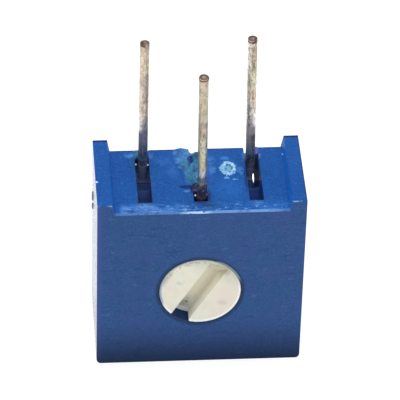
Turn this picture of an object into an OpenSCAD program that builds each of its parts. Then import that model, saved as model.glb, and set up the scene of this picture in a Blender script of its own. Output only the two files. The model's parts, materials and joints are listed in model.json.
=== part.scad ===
// Single-turn trimmer potentiometer with a square body. A screwdriver turns the
// rotor in its front face, and three wire pins leave through slots in one edge.
// It stands on the plain edge: +X is right, -Y is the rotor face, +Z is the pins.

/* [Body] */
// Width across the rotor face
body_w = 9.53; // [9.2:0.01:12]
// Height of the rotor face, with the standoff ridges
body_h = 9.53; // [9.2:0.01:12]
// Depth from the rotor face to the back
body_d = 4.83; // [4.2:0.01:6.5]
// Height of the standoff ridges above the pin face
standoff_h = 0.48; // [0.2:0.01:1]
// Width of each standoff ridge at its top
standoff_w = 0.67; // [0.4:0.01:1]
// How much wider each ridge is at its foot, as the draft of its inner side
standoff_draft = 0.09; // [0:0.01:0.2]
// Radius of the two corners that the body stands on
foot_r = 0.27; // [0.05:0.01:0.4]
// Radius of the other long outer edges
edge_r = 0.04; // [0.03:0.01:0.15]
// Chamfer along the front edge of the pin face, between the ridges
front_chamfer = 0.08; // [0.03:0.01:0.15]
// Chamfer along the back edge of the pin face, between the ridges
back_chamfer = 0.25; // [0.05:0.01:0.4]

/* [Rotor] */
// Height of the rotor's axis above the base
rotor_z = 4.30; // [4.25:0.01:5]
// Diameter of the rotor's boss in the front wall
boss_dia = 3.77; // [3.2:0.01:3.9]
// Radial running clearance of the boss in its bore
boss_gap = 0.03; // [0.02:0.01:0.1]
// How far the rotor's face lies behind the body's face
face_recess = 0.04; // [0:0.01:0.3]
// Height of the raised rim round the rotor's face
rim_h = 0.04; // [0.01:0.01:0.1]
// Width of the slope that leads from the rim down to the face
rim_slope = 0.07; // [0.02:0.01:0.15]
// Width of the flat on top of the rim
rim_flat = 0.02; // [0.01:0.01:0.1]
// Chamfer round the outside of the rim
rim_chamfer = 0.02; // [0.01:0.01:0.1]
// Width of the screwdriver slot
driver_w = 0.90; // [0.5:0.01:1.2]
// Depth of the screwdriver slot
driver_depth = 0.65; // [0.3:0.01:0.75]
// Radius of the two corners at the slot's open end
mouth_r = 0.11; // [0.05:0.01:0.2]
// Rim left unbroken past the slot's closed end
rim_w = 0.22; // [0.12:0.01:0.4]
// Length over which the slot's floor rises to its closed end
runout_length = 0.71; // [0.3:0.01:1.2]
// Angle of the screwdriver slot at rest, counter-clockwise from +X as seen in front
driver_angle = 59.7; // [0:0.1:180]
// Diameter of the flange behind the front wall
flange_dia = 5.20; // [5:0.01:5.3]
// Thickness of the flange
flange_t = 0.55; // [0.4:0.01:0.6]
// Radius that the stop lug reaches
lug_r = 3.15; // [3:0.01:3.18]
// Angle that the stop lug fills
lug_angle = 24; // [15:1:40]
// Angle that the body's stop fills
stop_angle = 25; // [15:1:40]

/* [Front wall and seal] */
// Thickness of the front wall
front_wall = 1.37; // [1.3:0.01:1.45]
// Depth of the seal's groove, from the inside of the front wall
groove_depth = 0.47; // [0.45:0.01:0.5]
// Section diameter of the seal ring
seal_dia = 0.42; // [0.38:0.01:0.43]
// Slack of the seal ring on the boss and in its groove
seal_gap = 0.03; // [0.02:0.01:0.05]
// Play of the flange along the axis
end_play = 0.03; // [0.02:0.01:0.06]
// Radius of the round chamber that the rotor turns in
chamber_r = 3.25; // [3.22:0.01:3.35]

/* [Resistance element] */
// Side of the square ceramic plate
element_side = 6.80; // [6.7:0.01:7]
// Thickness of the ceramic plate
element_t = 0.63; // [0.5:0.01:0.7]
// Depth of the plate's front face behind the rotor face
element_at = 2.55; // [2.5:0.01:2.65]
// Clearance round the plate in its cell
element_gap = 0.03; // [0.01:0.01:0.06]
// Radius of the middle of the resistive track
track_r = 2.60; // [2.5:0.01:2.65]
// Width of the resistive track
track_w = 0.60; // [0.4:0.01:0.7]
// Angle that the resistive track covers
track_angle = 270; // [240:1:280]
// Thickness of the fired resistive film
track_t = 0.04; // [0.02:0.01:0.05]
// Thickness of the fired conductor film
film_t = 0.03; // [0.02:0.01:0.05]
// Clearance of a pin in its hole in the plate, on each side
pin_hole_gap = 0.105; // [0.1:0.005:0.15]
// Height of the two outer pin holes above the rotor's axis
outer_hole_z = 2.54; // [2.5:0.01:2.6]
// Height of the middle pin hole above the rotor's axis
middle_hole_z = 2.70; // [2.65:0.01:2.72]

/* [Wiper] */
// Thickness of the spring sheet
spring_t = 0.10; // [0.06:0.01:0.12]
// Width of the three-fingered track arm
arm_w = 0.60; // [0.4:0.01:0.7]
// Slit between two fingers
finger_slit = 0.06; // [0.04:0.01:0.1]
// Radius of the contact toes
toe_r = 0.08; // [0.06:0.01:0.1]
// Running gap between a toe and the film below it
toe_gap = 0.02; // [0.01:0.01:0.04]

/* [Pins] */
// Diameter of the pin wire
pin_dia = 0.43; // [0.4:0.01:0.51]
// Pitch of the pins across the body
pin_pitch = 2.54; // [2.5:0.01:2.58]
// Distance from the outer pins' row forward to the middle pin
pin_stagger = 2.54; // [2.2:0.01:2.56]
// Depth of the outer pins behind the rotor face
pin_row_at = 3.685; // [3.65:0.005:3.8]
// Height of the tallest pin tip above the standoff ridges
pin_out = 6.50; // [3:0.01:8]
// How much shorter the left, middle and right pin were cut
pin_trim = [0.17, 0.12, 0]; // [0:0.01:0.5]
// Centre-line radius of the pins' bends
bend_r = 0.45; // [0.4:0.01:0.48]
// Radius of the slight bend where a pin leaves the body
kink_r = 2.0; // [1:0.1:5]
// Sideways offset of the left, middle and right pin in their slots
pin_shift = [0.04, 0.05, -0.08]; // [-0.08:0.01:0.08]
// Lean of the left, middle and right pin outside the body, in degrees
pin_lean = [0.7, 0.8, 0.9]; // [0.1:0.1:2]
// Direction of each lean in plan: 0 is +X and 90 is to the back
pin_lean_to = [80, 220, 180]; // [0:5:360]

/* [Slots] */
// Clearance of a pin in its slot, on each side
slot_gap = 0.115; // [0.1:0.005:0.2]
// Depth of the slots below the pin face
slot_depth = 1.20; // [1.1:0.01:1.22]
// Clear length between the middle pin and the front end of its slot
slot_lead = 0.17; // [0.05:0.01:0.3]
// Width of the flared mouth where a slot meets the back
mouth_w = 0.86; // [0.8:0.01:1.1]
// Length of the flared mouth
mouth_length = 0.33; // [0.1:0.01:0.5]

/* [Seal and marks] */
// How far the potting dishes in below the back face
potting_dish = 0.14; // [0.05:0.01:0.3]
// Height of the potting round the wire in the left, middle and right slot, from its floor
wire_fill = [0.40, 1.14, 0.40]; // [0.2:0.01:1.18]
// Height of the potting at the back of the left, middle and right slot, from its floor
back_fill = [1.08, 0.82, 0.81]; // [0.2:0.01:1.1]
// Distance behind the outer wires at which the potting in each slot changes height
fill_turn = [0.05, 0.27, 0.05]; // [0.02:0.01:0.3]
// Length over which the potting in each slot changes height
fill_ramp = [0.30, 0.45, 0.30]; // [0.1:0.01:0.45]
// Gap that keeps the potting off the wires
bond_gap = 0.01; // [0.01:0.01:0.03]
// Diameter of the moulding gate's scar on the pin face
gate_dia = 0.52; // [0.3:0.01:0.8]
// Depth of the gate scar
gate_depth = 0.06; // [0.02:0.01:0.1]
// Place of the gate scar on the pin face, across and along
gate_at = [1.36, 0.74]; // [-2:0.01:2]

/* [Hidden] */
$fn = 96;
cut = 0.5;                                     // how far a cutting solid runs past a face

front_y = -body_d / 2;
back_y = body_d / 2;
pin_face_z = body_h - standoff_h;
tip_z = body_h + pin_out;

boss_r = boss_dia / 2;
bore_r = boss_r + boss_gap;
runout_to = boss_r - rim_w;                    // where the slot's floor reaches the face
runout_from = runout_to - runout_length;
mouth_cross = 0.01;                            // the mouth's arcs cross the face of the wall
groove_at = front_wall - groove_depth;         // depth where the seal groove starts
groove_r = boss_r + seal_dia + 3 * seal_gap;
flange_at = front_wall + end_play;
flange_back = flange_at + flange_t;
stop_r = flange_dia / 2 + (chamber_r - lug_r); // the flange runs inside the stop
stop_direction = -90;                          // the body's stop is at the bottom
wiper_angle = driver_angle + 180;              // the wiper points away from the lug

cell_side = element_side + 2 * element_gap;
cell_top = rotor_z + cell_side / 2;
cell_corner_r = 2.5 * element_gap;            // leaves the plate's square corners free
element_back = element_at + element_t;

stake_r = 0.25;                                // the wiper is heat-staked on two pips
stake_out = 1.10;                              // their distance from the axis
stake_head_r = 0.36;
stake_head_t = 0.10;
spring_ring_r = 1.50;
spring_hole_r = 0.70;
arm_root_r = 1.45;
tongue_root_r = 0.75;
tongue_w = 0.50;

lead_w = 0.50;                                 // width of the conductor leads
collector_r = 1.00;
limit_angle = 20;                              // overrun of the wiper past each track end
pad_overrun = 10;                              // the conductor runs this much further still
lead_lap = 0.05;                               // how far a lead runs into its conductor arc
solder_r = 0.50;
pad_r = solder_r + 0.04;                       // conductor ring round a pin hole
solder_h = 0.16;
pin_end_out = 0.20;                            // wire showing in front of the plate
pocket_r = solder_r + 0.12;
pocket_depth = 0.42;

pin_hole_dia = pin_dia + 2 * pin_hole_gap;
slot_w = pin_dia + 2 * slot_gap;
slot_front = pin_row_at - pin_stagger - pin_dia / 2 - slot_lead;
slot_floor_z = pin_face_z - slot_depth;
crank_z = pin_face_z - bend_r;                 // the middle pin's crank turns up at the face
potting_rim_y = back_y - 0.02;                 // where the potting meets the walls of the cell

// ---- helpers: depths run from the rotor face, heights in slab() from the rotor's axis

// A flat shape drawn as seen from the front, made t thick from depth d
module slab(d, t) {
    translate([0, front_y + d + t, rotor_z]) rotate([90, 0, 0]) linear_extrude(t) children();
}

// Part of a flat ring, centred on one direction
module ring_sector(r_in, r_out, direction, angle) {
    far = 2 * r_out;
    steps = ceil(angle / 60);
    fan = [for (i = [0:steps]) direction - angle / 2 + i * angle / steps];
    intersection() {
        difference() {
            circle(r_out);
            circle(r_in);
        }
        polygon(concat([[0, 0]], [for (a = fan) far * [cos(a), sin(a)]]));
    }
}

// A rectangle standing on y = 0 with its own radius for the low and the high corners
module rounded_rect(w, h, r_low, r_high) {
    for (side = [-1, 1]) {
        translate([side * (w / 2 - r_low), r_low]) circle(r_low);
        translate([side * (w / 2 - r_high), h - r_high]) circle(r_high);
    }
    translate([-w / 2, r_low]) square([w, h - r_low - r_high]);
    translate([-w / 2 + r_low, 0]) square([w - 2 * r_low, h / 2]);
    translate([-w / 2 + r_high, h / 2]) square([w - 2 * r_high, h / 2]);
}

// Sets a shape drawn with +X pointing outwards along one direction of the rotor face
module pointing(direction) {
    translate([0, front_y, rotor_z]) rotate([0, -direction, 0]) children();
}

// ---- housing

// The outer block: three rounded outlines crossed, less the gap between the ridges
module housing_block() {
    difference() {
        intersection() {
            translate([0, back_y, 0]) rotate([90, 0, 0]) linear_extrude(body_d)
                rounded_rect(body_w, body_h, foot_r, edge_r);
            translate([-body_w / 2, 0, 0]) rotate([90, 0, 90]) linear_extrude(body_w)
                rounded_rect(body_d, body_h, edge_r, edge_r);
            translate([0, -body_d / 2, 0]) linear_extrude(body_h)
                rounded_rect(body_w, body_d, edge_r, edge_r);
        }
        pin_face_recess();
    }
}

// Cuts the pin face down between the ridges: its chamfers are seen from one side, and the
// drafted inner sides of the ridges from the front
module pin_face_recess() {
    far_y = back_y + cut;
    half = body_w / 2 - standoff_w;
    slope = standoff_draft / standoff_h;
    drop = back_chamfer + cut;
    intersection() {
        translate([-body_w / 2, 0, 0]) rotate([90, 0, 90]) linear_extrude(body_w) polygon([
            [-far_y, pin_face_z - front_chamfer - cut], [front_y, pin_face_z - front_chamfer],
            [front_y + front_chamfer, pin_face_z], [back_y - back_chamfer, pin_face_z],
            [back_y, pin_face_z - back_chamfer], [far_y, pin_face_z - drop],
            [far_y, body_h + cut], [-far_y, body_h + cut]]);
        translate([0, far_y, pin_face_z]) rotate([90, 0, 0]) linear_extrude(2 * far_y) {
            low = half - standoff_draft - slope * drop;
            high = half + slope * cut;
            polygon([[-low, -drop], [low, -drop], [high, standoff_h + cut],
                     [-high, standoff_h + cut]]);
        }
    }
}

// The plan of one pin slot: parallel walls, a square front end and a flared mouth
module slot_plan() {
    w = slot_w / 2;
    m = mouth_w / 2;
    y0 = front_y + slot_front;
    y1 = back_y - mouth_length;
    polygon([[-w, y0], [w, y0], [w, y1], [m, back_y], [m, back_y + cut],
             [-m, back_y + cut], [-m, back_y], [-w, y1]]);
}

// One pin slot: a trough in the pin face that opens into the cell behind the plate
module pin_slot(x) {
    translate([x, 0, slot_floor_z]) linear_extrude(slot_depth + cut) slot_plan();
    translate([x - slot_w / 2, front_y + element_back, cell_top - cell_corner_r])
        cube([slot_w, body_d, slot_floor_z - cell_top + 2 * cell_corner_r]);
}

// The round chamber behind the front wall, with the rotor's end stop left standing
module rotor_chamber() {
    slab(front_wall, flange_back - front_wall) difference() {
        circle(chamber_r);
        ring_sector(stop_r, chamber_r + cut, stop_direction, stop_angle);
    }
    slab(flange_back, element_at - flange_back) circle(chamber_r);
}

// The square cell that takes the plate and the potting, open at the back
module element_cell() {
    slab(element_at, body_d) translate([0, -cell_side / 2])
        rounded_rect(cell_side, cell_side, cell_corner_r, cell_corner_r);
}

// A shallow round dish where the moulding gate was broken off
module gate_scar() {
    r = (pow(gate_dia / 2, 2) + pow(gate_depth, 2)) / (2 * gate_depth);
    translate([gate_at[0], gate_at[1], pin_face_z + r - gate_depth]) sphere(r);
}

module housing() {
    color("#1f5aa6") difference() {
        housing_block();
        slab(-cut, front_wall + 2 * cut) circle(bore_r);
        slab(groove_at, groove_depth + cut) circle(groove_r);
        rotor_chamber();
        element_cell();
        for (side = [-1, 1])
            slab(element_at - pocket_depth, pocket_depth + cut)
                translate([side * pin_pitch, outer_hole_z]) circle(pocket_r);
        for (i = [-1:1]) pin_slot(i * pin_pitch);
        gate_scar();
    }
}

// ---- rotor, seal and wiper

// The screwdriver slot: open at one end, where its corners are rounded, and run out at the
// other, where the rim goes on unbroken
module driver_slot() {
    bottom = face_recess + driver_depth;
    corner_v = driver_w / 2 + mouth_r;
    corner_u = sqrt(pow(boss_r - mouth_r, 2) - pow(corner_v, 2));
    over = 2 * boss_r / (boss_r - mouth_r);    // carries the corner's ray out past the boss
    pointing(driver_angle) linear_extrude(driver_w, center = true) polygon([
        [-2 * boss_r, -cut], [-2 * boss_r, bottom], [runout_from, bottom],
        [runout_to, face_recess], [runout_to, -cut]]);
    slab(-cut, bottom + cut) rotate(driver_angle + 180) for (side = [0, 1]) mirror([0, side, 0])
        difference() {
            polygon([[corner_u, corner_v], [corner_u, 0], [2 * boss_r, 0],
                     [over * corner_u, over * corner_v]]);
            translate([corner_u, corner_v]) circle(mouth_r + mouth_cross);
        }
}

// Clears the rotor's face inside its raised rim, with a slope all round
module face_dish() {
    slope = rim_slope / rim_h;
    face_r = boss_r - rim_chamfer - rim_flat - rim_slope;
    translate([0, front_y + face_recess, rotor_z]) rotate([90, 0, 0])
        cylinder(rim_h + cut, face_r, face_r + slope * (rim_h + cut));
}

// The boss, its face and rim, the flange with its stop lug, and the two stakes
module rotor() {
    rim_back = face_recess - rim_h + rim_chamfer;
    color("#ded9c5") {
        difference() {
            union() {
                slab(rim_back, flange_back - rim_back) circle(boss_r);
                translate([0, front_y + rim_back, rotor_z]) rotate([90, 0, 0])
                    cylinder(rim_chamfer, boss_r, boss_r - rim_chamfer);
                slab(flange_at, flange_t) {
                    circle(flange_dia / 2);
                    ring_sector(boss_r, lug_r, driver_angle, lug_angle);
                }
            }
            face_dish();
            driver_slot();
        }
        for (side = [-1, 1]) slab(flange_back, spring_t + stake_head_t)
            rotate(wiper_angle + side * 90) translate([stake_out, 0]) circle(stake_r);
        for (side = [-1, 1]) slab(flange_back + spring_t, stake_head_t)
            rotate(wiper_angle + side * 90) translate([stake_out, 0]) circle(stake_head_r);
    }
}

// The elastic ring that seals the boss behind the front wall
module rotor_seal_ring() {
    ring_r = boss_r + seal_gap + seal_dia / 2;
    color("#2a2a2c") translate([0, front_y + groove_at + seal_gap + seal_dia / 2, rotor_z])
        rotate([90, 0, 0]) rotate_extrude() translate([ring_r, 0]) circle(d = seal_dia);
}

// A sprung strip from the sheet at r_root down to a round toe at r_toe, w wide
module sprung_strip(r_root, r_toe, w, toe_at) {
    sheet_at = flange_back;
    heel = sign(r_toe - r_root) * 0.15;
    linear_extrude(w, center = true) {
        polygon([[r_root, sheet_at], [r_root + heel, sheet_at],
                 [r_toe, toe_at - toe_r - spring_t / 2], [r_toe, toe_at - toe_r + spring_t / 2],
                 [r_root + heel, sheet_at + spring_t], [r_root, sheet_at + spring_t]]);
        translate([r_toe, toe_at - toe_r]) circle(toe_r);
    }
}

// The stamped wiper: a staked ring, three fingers on the track, a tongue on the collector
module wiper_spring() {
    finger_w = (arm_w - 2 * finger_slit) / 3;
    track_top = element_at - track_t - toe_gap;
    pad_top = element_at - film_t - toe_gap;
    color("#c9b27c") {
        slab(flange_back, spring_t) difference() {
            circle(spring_ring_r);
            circle(spring_hole_r);
            for (side = [-1, 1]) rotate(wiper_angle + side * 90)
                translate([stake_out, 0]) circle(stake_r + bond_gap);
        }
        pointing(wiper_angle) for (i = [-1:1]) translate([0, 0, i * (finger_w + finger_slit)])
            sprung_strip(arm_root_r, track_r, finger_w, track_top);
        pointing(wiper_angle) sprung_strip(tongue_root_r, 0, tongue_w, pad_top);
    }
}

// ---- resistance element

module element_substrate() {
    color("#e9e6de") slab(element_at, element_t) difference() {
        square(element_side, center = true);
        pin_holes();
    }
}

module pin_holes() {
    for (side = [-1, 1]) translate([side * pin_pitch, outer_hole_z]) circle(d = pin_hole_dia);
    translate([0, middle_hole_z]) circle(d = pin_hole_dia);
}

// The fired cermet track, open at the top
module resistive_track() {
    color("#3b3a3c") slab(element_at - track_t, track_t)
        ring_sector(track_r - track_w / 2, track_r + track_w / 2, -90, track_angle);
}

// The conductor that the tongue rides on, with its lead to the middle pin
module collector_pad() {
    color("#b9b7b0") slab(element_at - film_t, film_t) difference() {
        union() {
            circle(collector_r);
            translate([-lead_w / 2, 0]) square([lead_w, middle_hole_z]);
            translate([0, middle_hole_z]) circle(pad_r);
        }
        pin_holes();
    }
}

// The conductor at one end of the track, with its lead to an outer pin
module termination_pad(side) {
    end_angle = 90 - side * (180 - track_angle / 2);
    hole_angle = atan2(outer_hole_z, side * pin_pitch);
    hole_r = norm([pin_pitch, outer_hole_z]);
    sweep = limit_angle + pad_overrun;
    color("#b9b7b0") slab(element_at - film_t, film_t) difference() {
        union() {
            ring_sector(track_r - track_w / 2, track_r + track_w / 2,
                        end_angle + side * sweep / 2, sweep);
            rotate(hole_angle) translate([track_r + track_w / 2 - lead_lap, -lead_w / 2])
                square([hole_r - track_r - track_w / 2 + lead_lap, lead_w]);
            translate([side * pin_pitch, outer_hole_z]) circle(pad_r);
        }
        pin_holes();
        ring_sector(track_r - track_w, track_r + track_w / 2, -90, track_angle);
    }
}

module termination_pad_left() { termination_pad(-1); }
module termination_pad_right() { termination_pad(1); }

// ---- pins: i is -1, 0 or 1 for left, middle or right

// Straight wire along +Z; its child goes on from its far end
module run(dia, length) {
    cylinder(length, d = dia);
    translate([0, 0, length]) children();
}

// Wire that starts along +Z and bends towards one side; its child goes on from its far end
module bend(dia, r, angle, towards) {
    rotate(towards + 180) translate([-r, 0, 0]) rotate([90, 0, 0])
        rotate_extrude(angle = angle) translate([r, 0]) circle(d = dia);
    rotate(towards) translate([r * (1 - cos(angle)), 0, r * sin(angle)]) rotate([0, angle, 0])
        rotate(-towards) children();
}

// Every pin starts in its hole in the plate, runs back and turns up behind the plate
module pin_root(i, hole_z, dia) {
    start = element_at - pin_end_out;
    translate([i * pin_pitch + pin_shift[i + 1], front_y + start, rotor_z + hole_z])
        rotate([-90, 0, 0])
            run(dia, pin_row_at - bend_r - start) bend(dia, bend_r, 90, -90) children();
}

// The length outside the body, which handling has bent over a little to one side
module pin_end(i, dia) {
    lean = pin_lean[i + 1];
    height = tip_z - pin_trim[i + 1] - pin_face_z;
    bend(dia, kink_r, lean, pin_lean_to[i + 1])
        run(dia, (height - kink_r * sin(lean)) / cos(lean));
}

// An outer pin goes straight up through its slot; the middle one is cranked forward
module pin_wire(i, dia) {
    if (i == 0) {
        pin_root(i, middle_hole_z, dia)
            run(dia, crank_z - rotor_z - middle_hole_z - 2 * bend_r) bend(dia, bend_r, 90, -90)
            run(dia, pin_stagger - 2 * bend_r) bend(dia, bend_r, 90, 90) pin_end(i, dia);
    } else {
        pin_root(i, outer_hole_z, dia)
            run(dia, pin_face_z - rotor_z - outer_hole_z - bend_r) pin_end(i, dia);
    }
}

module pin_left() { color("#b8b0a4") pin_wire(-1, pin_dia); }
module pin_middle() { color("#b8b0a4") pin_wire(0, pin_dia); }
module pin_right() { color("#b8b0a4") pin_wire(1, pin_dia); }

// A solder fillet on the front of the plate, with the solder drawn into the hole
module solder_joint(i) {
    z = (i == 0) ? middle_hole_z : outer_hole_z;
    front = element_at - film_t;
    color("#a9a9ab") difference() {
        union() {
            translate([i * pin_pitch, front_y + front, rotor_z + z]) rotate([90, 0, 0])
                cylinder(solder_h, solder_r, pin_hole_dia / 2);
            slab(front, element_back - front) translate([i * pin_pitch, z])
                circle(pin_hole_dia / 2 - bond_gap);
        }
        pin_wire(i, pin_dia);
    }
}

module solder_joint_left() { solder_joint(-1); }
module solder_joint_middle() { solder_joint(0); }
module solder_joint_right() { solder_joint(1); }

// ---- potting

// The dish that the potting sinks to inside the back rim, with sloping sides
module potting_surface() {
    w = cell_side / 2;
    slope = 2 * potting_dish;
    intersection() {
        translate([0, 0, rotor_z - body_h]) linear_extrude(2 * body_h) polygon([
            [-w, potting_rim_y], [-w + slope, back_y - potting_dish],
            [w - slope, back_y - potting_dish], [w, potting_rim_y], [w, back_y + cut],
            [-w, back_y + cut]]);
        translate([-body_w, 0, rotor_z]) rotate([90, 0, 90]) linear_extrude(2 * body_w) polygon([
            [potting_rim_y, -w], [back_y - potting_dish, -w + slope],
            [back_y - potting_dish, w - slope], [potting_rim_y, w], [back_y + cut, w],
            [back_y + cut, -w]]);
    }
}

// Potting in one slot: one height round the wire, another at the back, a slope between them
module slot_potting(i, from) {
    wire_z = wire_fill[i + 1];
    back_z = back_fill[i + 1];
    turn = pin_row_at + pin_dia / 2 + fill_turn[i + 1];
    end = body_d - potting_dish;
    translate([i * pin_pitch, 0, slot_floor_z]) intersection() {
        linear_extrude(slot_depth) slot_plan();
        translate([-mouth_w, front_y, 0]) rotate([90, 0, 90]) linear_extrude(2 * mouth_w)
            polygon([[from, 0], [end, 0], [end, back_z], [turn + fill_ramp[i + 1], back_z],
                     [turn, wire_z], [from, wire_z]]);
    }
    translate([i * pin_pitch - slot_w / 2, front_y + element_back, cell_top - cell_corner_r])
        cube([slot_w, body_d - element_back - potting_dish,
              slot_floor_z - cell_top + cell_corner_r]);
}

// One pour of epoxy: it closes the cell, climbs into the slots and fills the middle one
module potting_seal() {
    crank_at = pin_row_at - pin_stagger + pin_dia;
    color("#3f9bb5") difference() {
        union() {
            slab(element_back, potting_rim_y - front_y - element_back)
                translate([0, -cell_side / 2])
                    rounded_rect(cell_side, cell_side, cell_corner_r, cell_corner_r);
            for (i = [-1, 1]) slot_potting(i, element_back);
            slot_potting(0, crank_at);
        }
        potting_surface();
        for (i = [-1:1]) pin_wire(i, pin_dia + 2 * bond_gap);
    }
}

housing();
rotor();
rotor_seal_ring();
wiper_spring();
element_substrate();
resistive_track();
collector_pad();
termination_pad_left();
termination_pad_right();
pin_left();
pin_middle();
pin_right();
solder_joint_left();
solder_joint_middle();
solder_joint_right();
potting_seal();
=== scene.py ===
# %% [markdown]
# # A square trimmer potentiometer, finished in Blender
# The object is a small single-turn trimmer. A moulded blue case, 9.53 mm square, stands on its
# plain edge; a cream rotor with a screwdriver slot sits in its front; three tinned wire pins
# leave through slots in the top edge, where a little turquoise epoxy has crept out. Its exact
# shapes come from the CAD model, which this script loads as a fixed frame: +X is right, -Y is the
# rotor's face, +Z is the pins, and everything is in metres. What is left is the finish: the soft
# shapes that no drawing holds, the materials and the light.

# %% Load the fixed frame
import json
import math
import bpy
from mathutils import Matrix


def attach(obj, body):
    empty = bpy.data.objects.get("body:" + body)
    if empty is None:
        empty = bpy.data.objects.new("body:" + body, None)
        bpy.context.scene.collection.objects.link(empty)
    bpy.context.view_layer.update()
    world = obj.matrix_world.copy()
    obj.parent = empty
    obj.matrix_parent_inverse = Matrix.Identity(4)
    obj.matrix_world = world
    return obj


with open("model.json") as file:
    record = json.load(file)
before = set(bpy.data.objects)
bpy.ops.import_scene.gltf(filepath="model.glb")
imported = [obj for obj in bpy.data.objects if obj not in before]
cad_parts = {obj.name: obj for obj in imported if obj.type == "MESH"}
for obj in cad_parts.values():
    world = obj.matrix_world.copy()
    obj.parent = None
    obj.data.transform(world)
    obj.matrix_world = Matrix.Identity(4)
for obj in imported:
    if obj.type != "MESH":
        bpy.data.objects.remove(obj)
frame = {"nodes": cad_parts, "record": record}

from types import SimpleNamespace

import bpy
import numpy as np
from mathutils import Matrix, Vector

MM = 0.001
PIN_FACE_Z, ROTOR_Z = 9.05, 4.30  # mm, the pin face and the rotor's axis
BACK_Y, BACK_CHAMFER = 2.415, 0.25  # mm, the back and its bevelled edge
PIN_PITCH = 2.54  # mm
DRIVER_ANGLE = math.radians(59.7)  # of the screwdriver slot, from +X
nodes = frame["nodes"]
mounts = {mount["name"]: mount for mount in frame["record"]["mounts"]}
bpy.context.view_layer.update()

# %% [markdown]
# ## The camera
# The object is seen from above its front, a little to its left, by a long lens that hardly shows
# perspective. A camera is only a place and three directions: right, up, and back towards the
# viewer. Written as the columns of a matrix they turn the camera, and the small roll turns
# right and up about the line of sight. The offsets slide the camera sideways in its own plane,
# which puts the object off centre without using the lens shift.

# %% Camera
CAMERA_AZIMUTH, CAMERA_ELEVATION, CAMERA_ROLL = np.radians([-5.092, 39.471, 1.722])
CAMERA_TARGET = np.array([0.0, 0.0, 5.0])  # mm, a point on the body's axis
CAMERA_OFFSET = np.array([0.147, 2.139, 159.986])  # mm along right, up and back
CAMERA_LENS, CAMERA_SENSOR = 309.5, 36  # mm
CAMERA_NEAR, CAMERA_FAR = 0.01, 10  # m

def camera_axes(azimuth, elevation, roll):
    """Columns right, up and back: back points from the target to the viewer, right is level,
    up is their cross product, then right and up are turned by the roll."""
    back = np.array([math.sin(azimuth) * math.cos(elevation),
                     -math.cos(azimuth) * math.cos(elevation), math.sin(elevation)])
    right = np.array([math.cos(azimuth), math.sin(azimuth), 0.0])
    up = np.cross(back, right)
    c, s = math.cos(roll), math.sin(roll)
    return np.column_stack([c * right + s * up, c * up - s * right, back])

axes = camera_axes(CAMERA_AZIMUTH, CAMERA_ELEVATION, CAMERA_ROLL)
camera = bpy.data.objects.new("camera", bpy.data.cameras.new("camera"))
camera.data.lens = CAMERA_LENS
camera.data.sensor_width = CAMERA_SENSOR
camera.data.clip_start, camera.data.clip_end = CAMERA_NEAR, CAMERA_FAR
camera_place = (CAMERA_TARGET + axes @ CAMERA_OFFSET) * MM
camera.matrix_world = Matrix.Translation(camera_place) @ Matrix(axes.tolist()).to_4x4()
bpy.context.scene.collection.objects.link(camera)
bpy.context.scene.camera = camera
bpy.context.scene.view_settings.view_transform = "Standard"
print("camera at", np.round(camera_place / MM, 1), "mm")

# %% [markdown]
# ## Nodes and colours
# Every material below is a small graph. One function adds a node: it sets the node's own
# settings, fills its inputs with numbers or links them to other nodes' outputs, and hands back an
# output. Another turns a colour from sRGB hex into the linear light that shaders want.

# %% Adding nodes, and colours from hex
def linear(code):
    """sRGB hex to linear RGBA: c / 12.92 up to 0.04045, else ((c + 0.055) / 1.055) ** 2.4."""
    c = np.array([int(code[i:i + 2], 16) for i in (1, 3, 5)]) / 255
    return (*np.where(c <= 0.04045, c / 12.92, ((c + 0.055) / 1.055) ** 2.4).tolist(), 1.0)

def add(tree, kind, inputs=(), out=0, **settings):
    """Adds one node with its settings, its inputs filled or linked, and returns one output."""
    node = tree.nodes.new(kind)
    for key, value in settings.items():
        setattr(node, key, value)
    for key, value in dict(inputs).items():
        if isinstance(value, bpy.types.NodeSocket):
            tree.links.new(value, node.inputs[key])
        else:
            node.inputs[key].default_value = value
    return node.outputs[out] if len(node.outputs) else node

# %% [markdown]
# ## Meshes from grids
# A new piece is a grid of points worked out with numpy. Two kinds are enough: a ring, closed
# both ways like a doughnut, and a shell, closed round its columns and drawn together at a pole at
# each end like a globe. In both, going down the rows and then right along the columns turns the
# same way, so every face looks outwards.

# %% Mesh builders
def build_mesh(name, points_mm, faces, smooth=True):
    """A mesh object at the origin from points in millimetres and a list of faces."""
    mesh = bpy.data.meshes.new(name)
    mesh.from_pydata((np.asarray(points_mm) * MM).tolist(), [], faces)
    mesh.polygons.foreach_set("use_smooth", [smooth] * len(mesh.polygons))
    mesh.update()
    piece = bpy.data.objects.new(name, mesh)
    bpy.context.scene.collection.objects.link(piece)
    return piece

def shell_faces(rows, cols, first=0):
    """Faces of a shell: a fan round the first pole, quads between neighbouring rows, and a fan
    round the last pole. Points are numbered from `first`: pole, rows in turn, pole."""
    grid = first + 1 + np.arange(rows * cols).reshape(rows, cols)
    right = np.roll(grid, -1, axis=1)
    quads = np.stack([grid[:-1], grid[1:], right[1:], right[:-1]], -1).reshape(-1, 4)
    top = np.stack([np.full(cols, first), grid[0], right[0]], -1)
    end = np.stack([np.full(cols, first + 1 + rows * cols), right[-1], grid[-1]], -1)
    return [*top.tolist(), *quads.tolist(), *end.tolist()]

def ring_faces(rows, cols):
    """Quads of a grid that closes along its rows and its columns."""
    grid = np.arange(rows * cols).reshape(rows, cols)
    down, right = np.roll(grid, -1, axis=0), np.roll(grid, -1, axis=1)
    both = np.roll(down, -1, axis=1)
    return np.stack([grid, down, both, right], -1).reshape(-1, 4).tolist()

# %% [markdown]
# ## Floor, light and surroundings
# The part stands on a pale table under one big soft lamp, with a bright room around it. The lamp
# is high and a little behind, so the pin face gets about a half more light than the front. The
# table is pale grey to the light that it sends up on the front, and white to the eye and to
# reflections. A Light Path node makes that split: camera, glossy and transmission rays see a
# floor that is mostly a white glow with a little real shading in it, which keeps the part's soft
# shadow.

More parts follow.
